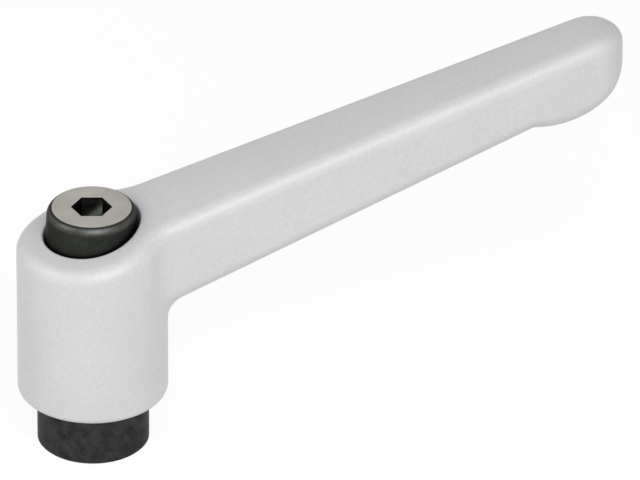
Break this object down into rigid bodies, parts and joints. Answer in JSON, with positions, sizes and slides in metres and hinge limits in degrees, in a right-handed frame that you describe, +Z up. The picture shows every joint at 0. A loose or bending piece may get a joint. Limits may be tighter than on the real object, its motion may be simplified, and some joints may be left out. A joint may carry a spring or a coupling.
{
  "type": "adjustable clamping lever",
  "caption": "Adjustable clamping lever: a sloping handle on a hub, spring-loaded on a serrated threaded bushing that is held by a socket screw.",
  "frame": {"origin": "centre of the stud thread in the insert's bottom face", "axes": "+Z up along the thread axis, towards the screw head; +X along the arm, seen from above"},
  "size_m": [0.0887, 0.021, 0.0513],
  "materials": {
    "silver_coat": "silver-grey fine-textured powder coat on a zinc die casting",
    "blackened_steel": "blackened turned steel, satin",
    "ground_black_steel": "blackened steel with a ground bright top face",
    "spring_steel": "plain drawn spring wire"
  },
  "bodies": {
    "insert": {"threaded_insert": "blackened_steel", "retaining_screw": "ground_black_steel"},
    "spring": {"spring": "spring_steel"},
    "lever": {"lever": "silver_coat"}
  },
  "joints": [
    {"name": "lever_turn", "type": "hinge", "parent": "insert", "child": "spring", "pos_m": [0, 0, 0.02], "axis": [0, 0, 1], "continuous": true},
    {"name": "lever_lift", "type": "slide", "parent": "spring", "child": "lever", "axis": [0, 0, 1], "range_m": [0, 0.0035], "stiffness_N_per_m": 2500, "springref_m": -0.004, "deforming": ["spring"]}
  ]
}
